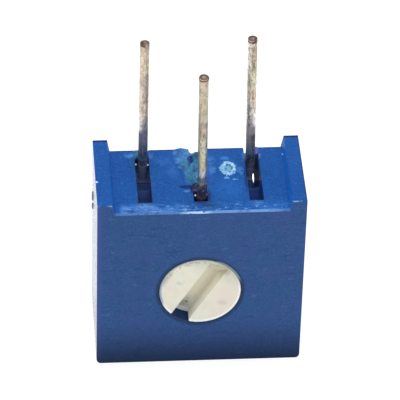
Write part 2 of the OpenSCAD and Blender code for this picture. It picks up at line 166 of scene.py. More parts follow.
# %% The floor
FLOOR_HALF = 1.5  # m
FLOOR_GREY = linear("#e6e6e6")
FLOOR_SHADED = 0.25  # share of real shading in the seen floor
FLOOR_GLOW = 0.84
FLOOR_GAP = 0.005  # mm, so the two faces don't coincide

def seen_rays(tree):
    """1 for camera, glossy and transmission rays, 0 for the rays that carry soft light."""
    path = tree.nodes.new("ShaderNodeLightPath").outputs
    some = add(tree, "ShaderNodeMath", {0: path["Is Camera Ray"], 1: path["Is Glossy Ray"]},
               operation="MAXIMUM")
    return add(tree, "ShaderNodeMath", {0: some, 1: path["Is Transmission Ray"]},
               operation="MAXIMUM")

corners = np.array([[-1, -1], [1, -1], [1, 1], [-1, 1]]) * FLOOR_HALF / MM
corners = np.column_stack([corners, [-FLOOR_GAP] * 4])
floor = build_mesh("floor", corners, [(0, 1, 2, 3)], smooth=False)
paper = bpy.data.materials.new("matt_white_paper")
paper.use_nodes = True
tree = paper.node_tree
tree.nodes.clear()
lit = add(tree, "ShaderNodeBsdfDiffuse", {"Color": FLOOR_GREY})
shade = add(tree, "ShaderNodeBsdfDiffuse", {"Color": (*[FLOOR_SHADED] * 3, 1)})
glow = add(tree, "ShaderNodeEmission", {"Strength": FLOOR_GLOW})
seen = add(tree, "ShaderNodeAddShader", {0: shade, 1: glow})
either = add(tree, "ShaderNodeMixShader", {0: seen_rays(tree), 1: lit, 2: seen})
add(tree, "ShaderNodeOutputMaterial", {"Surface": either})
floor.data.materials.append(paper)
print("floor:", 2 * FLOOR_HALF, "m square")

# %% The room and the lamp
ROOM_LIGHT = 0.75  # the share of light from all round
LAMP_SHARE = 0.75  # the share from the lamp
LAMP_HEIGHT, LAMP_SIDE = 0.5, 0.35  # m
LAMP_BACK = 0.10  # m behind the part

world = bpy.data.worlds.new("bright_room")
world.use_nodes = True
tree = world.node_tree
tree.nodes.clear()
strength = add(tree, "ShaderNodeMapRange", {"Value": seen_rays(tree), "To Min": ROOM_LIGHT,
                                            "To Max": 1.0})
room = add(tree, "ShaderNodeBackground", {"Color": (1, 1, 1, 1), "Strength": strength})
add(tree, "ShaderNodeOutputWorld", {"Surface": room})
bpy.context.scene.world = world

lamp = bpy.data.objects.new("softbox", bpy.data.lights.new("softbox", "AREA"))
lamp.data.size = LAMP_SIDE
lamp.location = (0, LAMP_BACK, LAMP_HEIGHT)
lamp.rotation_euler = Vector((0, LAMP_BACK, LAMP_HEIGHT)).to_track_quat("Z", "Y").to_euler()
lamp.data.energy = LAMP_SHARE * math.pi ** 2 * (LAMP_HEIGHT ** 2 + LAMP_BACK ** 2)
bpy.context.scene.collection.objects.link(lamp)
print("lamp:", round(lamp.data.energy, 2), "W")

# %% [markdown]
# ## How the materials are laid out
# A pattern is worked out from the place on the piece in millimetres, so a noise scale of 5 means
# grains a fifth of a millimetre apart. Three masks come back again and again: a soft spot, a
# region between given places, and broken noise that is cut to patches. A colour is then built as
# a painter would: a ground, and layers that each cover part of it.

# %% Masks and layers shared by the materials
FIRM = 0.9  # spots this strong have no breaks
ROTOR_AXIS = ((0, 0, ROTOR_Z), (1, 1e6, 1))  # a centre, and sizes that leave out the depth

def start(name):
    """A new empty material with its tree, the place on the piece in millimetres, as a vector
    and as x, y and z, the distance `aside` from the middle, |x|, and the way the surface
    faces, as nx, ny and nz."""
    material = bpy.data.materials.new(name)
    material.use_nodes = True
    tree = material.node_tree
    tree.nodes.clear()
    place = add(tree, "ShaderNodeTexCoord", out="Object")
    mm = add(tree, "ShaderNodeVectorMath", {0: place, 1: (1 / MM,) * 3}, operation="MULTIPLY")
    x, y, z = add(tree, "ShaderNodeSeparateXYZ", {0: mm}).node.outputs
    aside = add(tree, "ShaderNodeMath", {0: x}, operation="ABSOLUTE")
    facing = add(tree, "ShaderNodeTexCoord", out="Normal")
    nx, ny, nz = add(tree, "ShaderNodeSeparateXYZ", {0: facing}).node.outputs
    return SimpleNamespace(material=material, tree=tree, mm=mm, x=x, y=y, z=z, aside=aside,
                           nx=nx, ny=ny, nz=nz)

def where(m, *conditions):
    """The product of its conditions. A condition is a mask, a share, or (value, at_0, at_1): a
    soft step of the value that is 0 at the second number and 1 at the third."""
    found = None
    for condition in conditions:
        if isinstance(condition, tuple):
            value, low, high = condition
            condition = add(m.tree, "ShaderNodeMapRange", {
                "Value": value, "From Min": low, "From Max": high},
                interpolation_type="SMOOTHSTEP")
        found = condition if found is None else add(
            m.tree, "ShaderNodeMath", {0: found, 1: condition}, operation="MULTIPLY")
    return found

def reach(m, place, centre, half_size):
    """Distance from a centre, counted in half sizes, so it is 1 all over an ellipsoid."""
    local = add(m.tree, "ShaderNodeMapping",
                {"Vector": place, "Location": centre, "Scale": half_size},
                vector_type="TEXTURE")
    return add(m.tree, "ShaderNodeVectorMath", {0: local}, out="Value", operation="LENGTH")

def spot(m, place, centre, half_size, soft, most):
    """`most` inside an ellipsoid, falling to 0 over the outer share `soft` of its radius."""
    return add(m.tree, "ShaderNodeMapRange", {
        "Value": reach(m, place, centre, half_size), "From Min": 1.0, "From Max": 1.0 - soft,
        "To Max": most}, interpolation_type="SMOOTHSTEP")

def patches(m, per_mm, low, high, detail=3.0, stretch=(1, 1, 1), moved=0.0):
    """Noise with `per_mm` grains in a millimetre, cut to 0 below low and 1 above high."""
    local = add(m.tree, "ShaderNodeMapping",
                {"Vector": m.mm, "Location": (moved,) * 3, "Scale": stretch})
    noise = add(m.tree, "ShaderNodeTexNoise",
                {"Vector": local, "Scale": per_mm, "Detail": detail, "Roughness": 0.6})
    return where(m, (noise, low, high))

def wander(m, per_mm, by):
    """The place in millimetres, pushed about by noise by up to `by`, for ragged outlines."""
    noise = add(m.tree, "ShaderNodeTexNoise", {"Vector": m.mm, "Scale": per_mm, "Detail": 2.0},
                out="Color")
    centred = add(m.tree, "ShaderNodeVectorMath", {0: noise, 1: (0.5,) * 3},
                  operation="SUBTRACT")
    return add(m.tree, "ShaderNodeVectorMath", {0: centred, 1: (2 * by,) * 3, 2: m.mm},
               operation="MULTIPLY_ADD")

def layered(m, ground, *layers):
    """A ground colour with layers laid over it in turn. A layer is one or more conditions that
    say where it lies, and then its colour: sRGB hex or the output of another node."""
    colour = linear(ground) if isinstance(ground, str) else ground
    for *conditions, over in layers:
        over = linear(over) if isinstance(over, str) else over
        mask = where(m, *conditions)
        colour = add(m.tree, "ShaderNodeMix", {0: mask, 6: colour, 7: over}, out=2,
                     data_type="RGBA")
    return colour

def marks(m, place, table, broken=None):
    """Layers of spots, one for each row of centre, half size, softness, strength and colour. A
    centre of two numbers is on the pin face. A spot weaker than FIRM is also broken up by a
    mask, where one is given."""
    layers = []
    for centre, *shape, most, code in table:
        mask = spot(m, place, (*centre, PIN_FACE_Z)[:3], *shape, most)
        if broken is not None and most < FIRM:
            mask = where(m, mask, broken)
        layers.append((mask, code))
    return layers

def along_face(m, angle):
    """Distance in millimetres from the rotor's centre along a direction in its face, which
    stands at the given angle from +X."""
    total = add(m.tree, "ShaderNodeVectorMath", {0: m.mm, 1: (
        math.cos(angle), 0, math.sin(angle))}, out="Value", operation="DOT_PRODUCT")
    return add(m.tree, "ShaderNodeMath", {0: total, 1: ROTOR_Z * math.sin(angle)},
               operation="SUBTRACT")

def finish(m, colour, roughness, height, depth_mm, **constants):
    """The shader of every material: its colour and roughness, a bump of depth_mm from a height
    between 0 and 1, and constants that are set on the shader's own sockets. In place of a
    number, (mask, at_0, at_1) gives one that follows a mask."""
    bump = add(m.tree, "ShaderNodeBump", {"Height": height, "Distance": depth_mm * MM})
    inputs = {"Base Color": colour, "Roughness": roughness, "Normal": bump}
    inputs.update({key.replace("_", " "): value for key, value in constants.items()})
    for key, value in inputs.items():
        if isinstance(value, tuple):
            inputs[key] = add(m.tree, "ShaderNodeMapRange", {
                "Value": value[0], "To Min": value[1], "To Max": value[2]})
    shader = add(m.tree, "ShaderNodeBsdfPrincipled", inputs)
    add(m.tree, "ShaderNodeOutputMaterial", {"Surface": shader})
    print(m.material.name, len(m.tree.nodes), "nodes")
    return m.material

# %% [markdown]
# ## The case: blue glass-filled polyester, moulded
# Such cases are moulded from polyester filled with short glass fibre. The pigment is deep and
# even, and the fibres leave a fine, slightly rough skin that scatters a little light, so the case
# looks matt. Its walls are painted a greyer blue than the deep blue pin face, a painted sheen,
# and are painted darker towards the foot as shade. Handling has rubbed the front edge of the pin
# face pale, and the front edges also carry a painted highlight. A gate mark was torn off, and the
# slots hold dirt and soldering flux; their walls are painted paler against the shade in them, and
# the bore round the rotor is painted dark as shade. The side walls are the glossy parting faces
# of the mould.

# %% Case: ground colours
case = start("glass_filled_polyester_moulded_blue")
top = where(case, (case.nz, 0.35, 0.75))
ragged = wander(case, 3.5, 0.10)
grain = patches(case, 11, 0.30, 0.70, detail=4)
cloud = patches(case, 0.55, 0.35, 0.65, detail=1)
tint = patches(case, 2.2, 0.40, 0.62, detail=3, moved=5)

# painted sheen: the walls' greyer blue stands for the pale gloss they show; the pin face is deep
# blue
wall = layered(
    case, "#2d4f84", (grain, "#3a5d98"), (cloud, 0.40, "#3d5290"), (tint, 0.40, "#2c5788"),
    (patches(case, 2.4, 0.58, 0.70, stretch=(0.5, 1, 1.8), moved=15), 0.5, "#26447a"),
    (patches(case, 3.0, 0.62, 0.72, stretch=(0.6, 1, 1.6), moved=16), 0.5, "#4c70ac"),
    ((case.x, -4.35, -4.7), (case.ny, -0.5, -0.9), "#3f5795"))
face = layered(
    case, "#00397e", (grain, "#0c529c"), (cloud, 0.35, "#0c5199"), (tint, 0.45, "#0a458c"))
# painted light: the inner sides of the ridges are painted paler against their shade
ridge_side_painted_light = where(case, (case.aside, 4.14, 4.11), (case.z, 9.045, 9.055),
                   (case.nz, 0.6, 0.4), (case.y, -2.40, -2.38))
# painted shade: its last layer paints the walls darker towards the foot
ground = layered(case, layered(case, wall, (top, face), (ridge_side_painted_light, "#1a6ac4")),
                 ((case.z, 2.9, -1.2), (case.z, 8.0, 7.9), "#0c1830"))

# %% Case: wear on the pin face
broken = patches(case, 4.5, 0.36, 0.66, detail=4, stretch=(0.45, 1.3, 1))
flecks = patches(case, 9.0, 0.54, 0.70, detail=4, stretch=(0.5, 1.2, 1), moved=3)
front_band = where(case, top, (case.z, 9.3, 9.1), (case.y, -1.60, -2.15), (case.x, -3.9, -3.6))
left_band = where(case, front_band, (case.x, -0.4, -1.6), (case.x, -3.8, -3.6))
chamfer = where(case, (case.y, -2.31, -2.345), (case.z, 8.955, 8.975), (case.z, 9.20, 9.10),
                (case.aside, 4.03, 3.99))
lip_wear_and_painted_highlight = where(case, chamfer, (case.y, -2.335, -2.36), (case.x, -1.3, -0.3),
                   (case.x, 0.60, 0.05), patches(case, 5, 0.30, 0.50))
ridge_edge = where(case, (case.y, -2.36, -2.385), (case.z, 9.47, 9.50))
from_slot = add(case.tree, "ShaderNodeMath", {0: case.x, 1: PIN_PITCH / 2},
                operation="PINGPONG")
fringe = where(case, top, (from_slot, 0.46, 0.38), (case.aside, 3.3, 3.2),
               (case.y, -1.85, -1.75), patches(case, 4, 0.42, 0.60, moved=6))
wear_painted_light_and_shade = layered(
    case, ground,
    (front_band, broken, "#1f5faa"),
    (left_band, broken, "#3a72b9"),
    (left_band, patches(case, 1.6, 0.42, 0.60, moved=9), 0.6, "#4c78bc"),
    (front_band, flecks, 0.75, "#79a8dd"),
    # wear and painted highlight: the front chamfer and the pale lip along the front edge
    (chamfer, patches(case, 4, 0.25, 0.60), "#5078b4"),
    (chamfer, (case.x, 0.1, 0.6), (case.x, 3.9, 3.0),
     patches(case, 2.5, 0.20, 0.60, moved=2), "#6c95cf"),
    (lip_wear_and_painted_highlight, "#b8d8fc"),
    # wear and painted highlight: the front edges of the ridges
    (ridge_edge, patches(case, 2.5, 0.40, 0.60), "#7e9fd2"),
    (fringe, 0.8, "#1c4678"),
    (top, patches(case, 7.0, 0.60, 0.74, moved=12), 0.45, "#3a78bc"),
    (top, patches(case, 6.0, 0.60, 0.72, moved=13), 0.45, "#052c68"),
    # painted shade: thin dark lines along the back edges and the right ridge's outer edge
    (top, (case.z, 9.3, 9.2), (case.y, 2.07, 2.12), patches(case, 2.0, 0.35, 0.50, moved=4),
     "#06245e"),
    (top, (case.z, 9.4, 9.5), (case.y, 2.22, 2.28), "#06245e"),
    (top, (case.z, 9.4, 9.5), (case.x, 4.69, 4.73), patches(case, 3, 0.30, 0.45, moved=18),
     "#0a2a66"))

# %% Case: dirt, and painted light and shade, in the slots and round the rotor
bore_radius = reach(case, case.mm, *ROTOR_AXIS)
in_slot = where(case, (from_slot, 0.48, 0.44), (case.aside, 3.3, 3.2), (case.y, -1.72, -1.68),
                (case.z, 9.045, 9.02), (case.z, 7.7, 7.8))
outer_slots, middle_slot = (case.aside, 1.0, 1.5), (case.aside, 1.5, 1.0)
right_slot, level = (case.x, 1.0, 1.5), (case.nz, 0.4, 0.8)
soot = patches(case, 3, 0.35, 0.65)
# painted light over dirt: the outer slots' walls are painted paler against the shade in them;
# their floors are dirty
outer_slot_dirt_and_painted_light = layered(
    case, "#3c5496", (soot, "#3c4c80"), ((case.y, 0.2, 0.7), "#4a78b8"), (level, "#1a3060"),
    (level, (case.y, 0.05, 0.35), "#293e6e"), (level, right_slot, "#10306c"),
    (level, right_slot, (case.y, -0.05, 0.2), "#1b3876"),
    (level, (case.y, 0.40, 0.70), "#3c568c"),
    ((case.nz, 0.6, 0.2), right_slot, (case.y, 0.3, -0.2), "#1c4c98"))
dirt_painted_light_and_shade = layered(
    case, wear_painted_light_and_shade,
    (in_slot, outer_slots, outer_slot_dirt_and_painted_light),
    # purple flux, painted paler against the deep shade in the middle slot
    (in_slot, middle_slot, (case.y, 0.4, 0.1), layered(case, "#6a5aa0", (soot, "#7c608c"))),
    (in_slot, middle_slot, (case.y, 0.1, 0.4), "#3c4c80"),
    # painted shade on the bore wall and in a ring round it on the front; a painted highlight on
    # the bore's upper-right edge
    ((bore_radius, 1.97, 1.93), (case.y, -2.39, -2.37), "#24406e"),
    ((bore_radius, 2.14, 1.99), (case.y, -2.39, -2.41), patches(case, 3, 0.20, 0.45, moved=17),
     "#284066"),
    ((bore_radius, 2.00, 1.94), (case.x, 0.6, 1.1), (case.z, 4.7, 5.2), "#8ba0aa"))

CASE_MARKS = [  # centre, half size, softness, strength, colour
    ((1.42, 0.68), (0.56, 0.72, 0.3), 0.7, 0.60, "#3f7cc4"),  # torn skin at the gate
    ((1.40, 0.70, 9.0), (0.24, 0.34, 0.3), 0.6, 0.9, "#6ea6c8"),
    ((1.58, 0.62, 9.0), (0.10, 0.22, 0.3), 0.6, 0.8, "#2c6a98"),
    ((1.35, -0.70), (1.10, 1.30, 0.2), 1.0, 0.60, "#1c60b0"),
    ((0.52, 0.80), (0.20, 1.60, 0.2), 0.9, 0.50, "#3f62ae"),  # pale strip by the pin
    ((-2.15, -0.30), (0.16, 0.60, 0.2), 0.8, 0.40, "#3a4a96"),
    ((-1.55, 1.35), (0.70, 0.45, 0.2), 0.9, 0.45, "#2f6ab4"),  # film round the spill
    ((-1.15, 0.60), (0.40, 0.80, 0.2), 0.9, 0.40, "#2f6cb0"),
    ((-3.08, 1.80), (0.38, 0.27, 0.3), 0.7, 0.65, "#4a86c4"),  # epoxy at the left slot
    ((-2.90, 1.20), (0.09, 0.70, 0.3), 0.7, 0.85, "#123f68"),
    ((-2.12, 1.78), (0.14, 0.34, 0.3), 0.8, 0.45, "#5c80bc"),
    ((2.16, 1.60), (0.10, 0.50, 0.3), 0.8, 0.45, "#5a78b8"),  # haze at the right slot
    ((2.90, 1.55), (0.14, 0.30, 0.3), 0.7, 0.60, "#6a83c0"),
    ((2.15, -0.10), (0.10, 1.20, 0.2), 0.6, 0.95, "#0c2c6a"),  # shadowed edge beside it
    ((0.35, -1.98), (0.48, 0.30, 0.2), 0.8, 0.75, "#143c66"),  # flux smeared forward
    ((0.15, -1.84), (0.40, 0.16, 0.2), 0.8, 0.80, "#1f3f70"),
    ((-0.10, -1.85), (0.30, 0.16, 0.2), 0.8, 0.50, "#28306e"),
    ((-2.55, -1.88), (0.55, 0.26, 0.2), 0.9, 0.70, "#5484bc"),  # rubbed before the slots
    ((2.55, -1.84), (0.50, 0.22, 0.2), 0.9, 0.60, "#3f7cbe"),
    ((0.40, -1.22), (0.11, 0.62, 0.2), 0.8, 0.95, "#0c2c5c"),  # dirt beside the pin
    ((0.04, -1.72), (0.44, 0.09, 0.2), 0.7, 0.95, "#203a6a"),
    ((-0.36, -0.86), (0.16, 0.30, 0.2), 0.6, 0.90, "#062462"),
    ((-0.58, -0.57), (0.42, 0.15, 0.2), 0.4, 1.0, "#001e62"),  # crack beside the pin
    ((-0.36, -0.66), (0.14, 0.20, 0.2), 0.5, 1.0, "#02083c"),
    ((-0.75, -2.20), (0.35, 0.14, 0.2), 0.8, 0.80, "#6c9cd4"),
    ((1.95, 0.48), (0.20, 0.40, 0.2), 0.9, 0.75, "#4a88c8"),  # pale skin round the gate
    ((0.68, 0.60), (0.24, 0.36, 0.2), 0.9, 0.60, "#4a86c4"),
    ((0.64, 1.32), (0.30, 0.50, 0.2), 0.9, 0.60, "#3c70ac"),
    ((1.30, 1.44), (0.36, 0.22, 0.2), 0.9, 0.75, "#3c7cc8"),
    ((1.28, 0.02), (0.18, 0.10, 0.2), 0.7, 0.80, "#6aa8e0"),
    ((1.66, -0.14), (0.18, 0.07, 0.2), 0.7, 0.80, "#6aa8e0"),
    ((-0.60, -0.88), (0.20, 0.12, 0.2), 0.7, 0.80, "#3f86b8"),
    ((3.98, 1.60), (0.07, 0.07, 0.1), 0.7, 0.9, "#8fc0ea"),
    ((-4.72, -0.68, 9.53), (0.09, 0.09, 0.2), 0.6, 0.9, "#d8e8fa"),  # nick in the left ridge
    # painted shade at the foot of the left wall
    ((-4.765, -2.0, 0.45), (0.10, 0.40, 0.30), 0.7, 0.8, "#22304a"),
    ((-1.4, -2.415, 6.75), (0.70, 0.2, 0.16), 0.9, 0.35, "#23386a"),  # handling marks in front
    ((0.6, -2.415, 6.65), (0.60, 0.2, 0.12), 0.9, 0.35, "#23386a"),
    ((-2.6, -2.415, 6.1), (0.40, 0.2, 0.30), 0.9, 0.25, "#23386a"),
    ((3.0, -2.415, 5.2), (0.50, 0.2, 0.60), 0.9, 0.20, "#4a5fa0"),
]
scuffed = patches(case, 5.0, 0.28, 0.55, moved=11)
colour = layered(case, dirt_painted_light_and_shade, *marks(case, ragged, CASE_MARKS, scuffed))
sideways = add(case.tree, "ShaderNodeMath", {0: case.nx}, operation="ABSOLUTE")
sides = where(case, (sideways, 0.7, 0.95), (case.aside, 4.70, 4.75))
blue_case = finish(case, colour, (sides, 0.5, 0.03), patches(case, 14, 0.3, 0.7, detail=4),
                   0.006, Specular_IOR_Level=0.10)

# %% [markdown]
# ## The rotor: cream thermoplastic, moulded
# The rotor is a natural, unpainted thermoplastic, which is a milky cream with a soft gloss. Its
# face is handled by screwdrivers and fingers, so it has a few grey smudges, a warmer and a
# greener side, and grime near the slot's open lower end. Round the slot's closed far end the
# face and the slot are painted darker as shade, and so is the upper-left edge of the face; the
# slot's lower-right wall is painted paler against its shade. The lower part of the rim's chamfer
# is painted white as a highlight, the palest line on the rotor, and its top is painted darker as
# shade. The pattern rides on the rotor, so it turns with the slot.

# %% Rotor material
cream = start("thermoplastic_moulded_cream")
along, across = along_face(cream, DRIVER_ANGLE), along_face(cream, DRIVER_ANGLE + math.pi / 2)
radius = reach(cream, cream.mm, *ROTOR_AXIS)
behind_face = (cream.y, -2.36, -2.30)  # inside the slot
warm = patches(cream, 0.9, 0.40, 0.62, detail=1)
mottle = patches(cream, 3.2, 0.45, 0.70, detail=3)
inner_wall = where(cream, behind_face, (cream.nx, -0.5, -0.8))
rim = where(cream, (radius, 1.76, 1.80), (cream.y, -2.30, -2.34))
base = layered(
    cream, "#efeedd", (warm, 0.6, "#f1ead6"), (mottle, 0.7, "#e8e6d4"),
    ((cream.x, 0.2, 1.4), (cream.z, 5.0, 4.2), "#f0e6d6"),
    # painted shade: the face darkens round the slot's far end
    ((along, 0.7, 1.7), "#d6d8c6"),
    # painted shade: grey specks along the upper-left edge of the face
    ((cream.y, -2.30, -2.36), (radius, 1.55, 1.76), (cream.z, 4.3, 4.9), (cream.x, 1.5, 0.9),
     patches(cream, 4, 0.38, 0.60, moved=8), "#b4b8ae"),
    (behind_face, "#ece6d0"),
    (behind_face, (across, 0.0, -0.40), "#dcd6c4"),
    (behind_face, (along, -0.5, -1.2), "#d0cfc2"),
    (behind_face, (along, -1.50, -1.72), "#eef2f6"),
    # painted light: the slot's lower-right wall is painted paler against its shade
    (inner_wall, "#fffbee"),
    (inner_wall, (cream.y, -2.15, -1.80), "#f2eedd"),
    # painted shade in the slot at its far end
    (behind_face, (along, 0.7, 1.4), "#d6d3b8"),
    # painted highlight along the lower rim, painted shade along its top
    (rim, (cream.z, 5.0, 4.4), "#ffffff"),
    (rim, (cream.z, 4.8, 5.4), "#c4c6bc"),
    (rim, (cream.x, -1.45, -1.78), (cream.z, 3.3, 3.8), "#a4aec2"))
ragged = wander(cream, 4.0, 0.10)
ROTOR_MARKS = [  # centre, half size, softness, strength, colour
    ((-0.95, -2.375, 4.80), (0.26, 0.2, 0.18), 0.9, 0.55, "#cbc6bb"),
    ((1.05, -2.375, 3.55), (0.34, 0.2, 0.26), 0.9, 0.60, "#d2c6b8"),
    ((-0.72, -1.75, 3.05), (0.42, 0.4, 0.30), 0.7, 0.55, "#8a8a78"),
    ((-0.82, -1.75, 3.24), (0.09, 0.3, 0.07), 0.7, 0.80, "#44443a"),
    ((-0.60, -1.75, 3.12), (0.09, 0.3, 0.07), 0.7, 0.80, "#44443a"),
    ((-0.72, -1.75, 3.34), (0.07, 0.3, 0.06), 0.7, 0.70, "#505044"),
    ((-0.92, -1.75, 3.02), (0.12, 0.3, 0.06), 0.7, 0.70, "#5c5c48"),
    ((-0.50, -1.75, 3.34), (0.12, 0.3, 0.08), 0.8, 0.50, "#6c6a58"),
    # painted shade round the slot's far end
    ((0.80, -2.36, 5.72), (0.62, 0.2, 0.34), 1.0, 1.00, "#b9baa6"),
    ((1.30, -2.36, 5.00), (0.36, 0.2, 0.42), 1.0, 0.60, "#dbd9c6"),
    ((1.17, -2.36, 5.50), (0.38, 0.2, 0.42), 1.0, 0.95, "#adac96"),
    # painted shade along the upper-left edge of the face
    ((-1.55, -2.36, 4.85), (0.10, 0.2, 0.10), 0.8, 0.30, "#b9ab93"),
    ((-1.38, -2.36, 5.25), (0.12, 0.2, 0.10), 0.8, 0.30, "#a9a38f"),
    ((-0.60, -2.36, 5.85), (0.42, 0.2, 0.10), 0.9, 0.50, "#b3ac9c"),
    # greenish tints at the upper right
    ((0.85, -2.36, 6.00), (0.20, 0.2, 0.10), 0.8, 0.60, "#c3d8bd"),
    ((1.52, -2.36, 5.25), (0.16, 0.2, 0.22), 0.8, 0.55, "#c6d8c2"),
]
colour = layered(cream, base, *marks(cream, ragged, ROTOR_MARKS))
cream_rotor = finish(cream, colour, 0.38, patches(cream, 5, 0.3, 0.7, detail=3), 0.006,
                     Specular_IOR_Level=0.5)

# %% [markdown]
# ## The pins: tinned copper wire
# The wire is copper with a thin coat of tin. Tin is a soft, slightly yellow grey, and handling
# and old flux leave it mottled from straw to brown. Above its dull foot it is a metal, so what it
# shows there is mostly its pale surroundings. Near the foot it is hardly metallic, and its bands
# there are painted reflections of the blue case, darkened by flux; inside the slot they are
# painted paler against the shade. Pale bands down one side of a wire are painted highlights, and
# the dark one on the right pin is painted shade. Each pin has its own bands of colour by height,
# and the mottling is drawn out along the wire.

# %% Pin materials
SIDE_STARTS, SIDE_FULL = 0.02, 0.12  # mm from the middle of a wire

def tinned_wire(name, centre_x, tip_z, dull_z, spotty, bands):
    """Tinned wire with bands of colour, dull below dull_z, and mottled by the share `spotty`. A
    band is (from z, to z, softness, side, colour): a side of -1 or +1 keeps it to the left or
    the right of the wire, and 0 lets it go all round."""
    m = start(name)
    off = add(m.tree, "ShaderNodeMath", {0: m.x, 1: centre_x}, operation="SUBTRACT")
    pushed = add(m.tree, "ShaderNodeSeparateXYZ", {0: wander(m, 5.0, 0.12)}, out=2)
    layers = []
    for low, high, soft, side, code in bands:
        limits = [(pushed, low - soft, low + soft), (pushed, high + soft, high - soft)]
        if side:
            limits.append((off, SIDE_STARTS * side, SIDE_FULL * side))
        layers.append((*limits, code))
    drawn = (1, 1, 0.45)
    shiny = where(m, (pushed, dull_z - 0.2, dull_z + 0.2))
    colour = layered(
        m, "#cfc1ac", *layers,
        (shiny, patches(m, 7, 0.46, 0.60, 4, drawn), 0.55 * spotty, "#fff4e2"),
        (shiny, patches(m, 10, 0.48, 0.62, 4, drawn, 7), 0.6 * spotty, "#84746a"),
        (shiny, patches(m, 5, 0.60, 0.68, 2, moved=4), 0.45 * spotty, "#9aa27a"),
        (patches(m, 13, 0.55, 0.66, 4, drawn, 2), 0.65, "#5a5048"),
        ((shiny, 1.0, 0.3), patches(m, 8, 0.52, 0.66, 4, drawn, 9), 0.5, "#8e8a90"),
        ((m.nz, 0.6, 0.9), (m.z, tip_z - 0.1, tip_z - 0.03), "#5f5148"))
    return finish(m, colour, (patches(m, 6, 0.35, 0.7, stretch=drawn), 0.36, 0.55),
                  patches(m, 4, 0.3, 0.7, stretch=drawn), 0.02, Metallic=(shiny, 0.2, 1.0))

# painted light: the one-sided pale bands are painted highlights and the right pin's one-sided
# dark band is painted shade; the bands near the foot are painted reflections of the case, with
# flux, and those below the pin face are painted paler against the slot's shade
WIRES = {  # centre x, tip z, dull z, spotty, bands
    "left": (-2.49, 15.86, 11.05, 0.6, [
        (15.45, 16.1, 0.15, 0, "#c4b09c"), (14.2, 15.45, 0.3, 0, "#dccfb4"),
        (13.3, 13.9, 0.3, 0, "#c2b1a0"), (12.4, 13.4, 0.3, -1, "#ece0cc"),
        (11.3, 12.9, 0.4, 0, "#dccab0"), (10.2, 11.1, 0.15, 0, "#78738a"),
        (10.95, 11.9, 0.15, -1, "#fff8ec"), (9.8, 10.3, 0.15, 0, "#50647e"),
        (9.35, 9.9, 0.12, 0, "#36516c"), (8.95, 9.4, 0.12, 0, "#3e4a66"),
        (8.6, 9.0, 0.12, 0, "#647892"), (7.5, 8.7, 0.12, 0, "#768aa2")]),
    "middle": (-0.03, 15.91, 10.22, 0.45, [
        (15.6, 16.1, 0.2, 0, "#bda594"), (13.8, 15.4, 0.4, 0, "#c3b8a2"),
        (12.4, 13.6, 0.3, 0, "#b3a896"), (10.6, 12.5, 0.2, 0, "#c2bfa8"),
        (10.30, 10.62, 0.1, 0, "#bcc6cc"), (9.9, 10.3, 0.1, 0, "#446278"),
        (8.9, 9.9, 0.12, 0, "#282644"), (7.5, 9.2, 0.12, 0, "#444064")]),
    "right": (2.38, 16.03, 11.12, 0.9, [
        (15.3, 16.1, 0.2, 0, "#ac9986"), (14.2, 15.3, 0.2, 0, "#a0927c"),
        (14.0, 15.9, 0.2, -1, "#fff6e6"), (13.2, 14.3, 0.3, 0, "#d3ceb0"),
        (12.4, 13.4, 0.2, 0, "#decdb4"), (11.4, 12.6, 0.2, 0, "#e6d4be"),
        (11.1, 12.1, 0.15, 1, "#fffaf4"), (10.6, 11.15, 0.15, 0, "#a29b98"),
        (10.2, 10.7, 0.12, 0, "#8c8680"), (9.85, 10.25, 0.12, 0, "#7c7a80"),
        (9.8, 10.7, 0.15, 1, "#605c5c"), (9.4, 9.9, 0.12, 0, "#4c607c"),
        (8.9, 9.5, 0.12, 0, "#2e3852"), (8.6, 9.0, 0.12, 0, "#5a6488"),
        (7.5, 8.7, 0.12, 0, "#7c86a4")]),
}
wires = {"pin_" + side: tinned_wire("tinned_copper_wire_" + side, *row)
         for side, row in WIRES.items()}

# %% [markdown]
# ## Epoxy: cast, and where it has crept out
# The back of the case is closed by turquoise epoxy, poured in and cured, with a wet gloss and a
# few dust specks. What climbed into the pin slots has taken up dirt and flux, so it is slate
# there and purple-brown in front of the middle pin. In the slots its step is painted paler
# against the shade, and patches beside the right pin and before the middle pin are painted dark
# as shade. What crept out on the pin face dried to a rough skin: milky blue at its outer side and
# turquoise near the pin.

# %% Epoxy materials
cast = start("epoxy_cast_turquoise")
in_slots, middle_slot = (cast.z, 7.6, 7.8), (cast.aside, 1.5, 1.0)
behind = (cast.y, 2.25, 2.1)  # 0 on the back, 1 in front of it
colour = layered(
    cast, "#2f87a8", (patches(cast, 0.5, 0.4, 0.6, detail=1), "#338fae"),
    (patches(cast, 9, 0.66, 0.74, detail=1), "#7fc0d0"),
    (in_slots, behind, "#415274"),
    (in_slots, (cast.y, 1.35, 0.95), (cast.x, 0.0, -1.5), "#2e3e66"),
    # painted shade on the potting right of the right pin
    (in_slots, (cast.x, 2.50, 2.60), (cast.y, 1.9, 1.6), "#1c2434"),
    # painted light: the step's front face is painted paler against its shade, less at its right
    # end
    (in_slots, (cast.y, 0.80, 0.77), (cast.z, 8.25, 8.15), "#6f8cba"),
    (in_slots, (cast.y, 0.80, 0.77), (cast.x, 2.58, 2.68), "#3c4c70"),
    (in_slots, middle_slot, "#2c5a78"),
    (in_slots, middle_slot, (cast.y, 0.2, -0.1), "#2c3c5a"),
    # dirt, and a band painted near black as shade before the middle pin
    (in_slots, middle_slot, (cast.y, -0.30, -0.45), "#041438"),
    (in_slots, middle_slot, (cast.y, -0.62, -0.80), "#3a3258"))
wet = add(cast.tree, "ShaderNodeMapRange", {
    "Value": patches(cast, 2, 0.4, 0.7), "To Min": 0.15, "To Max": 0.35})
matt = where(cast, in_slots, behind, (cast.z, 7.75, 7.8))
cast_epoxy = finish(cast, colour, (matt, wet, 0.9), patches(cast, 0.8, 0.2, 0.8, detail=1), 0.03)

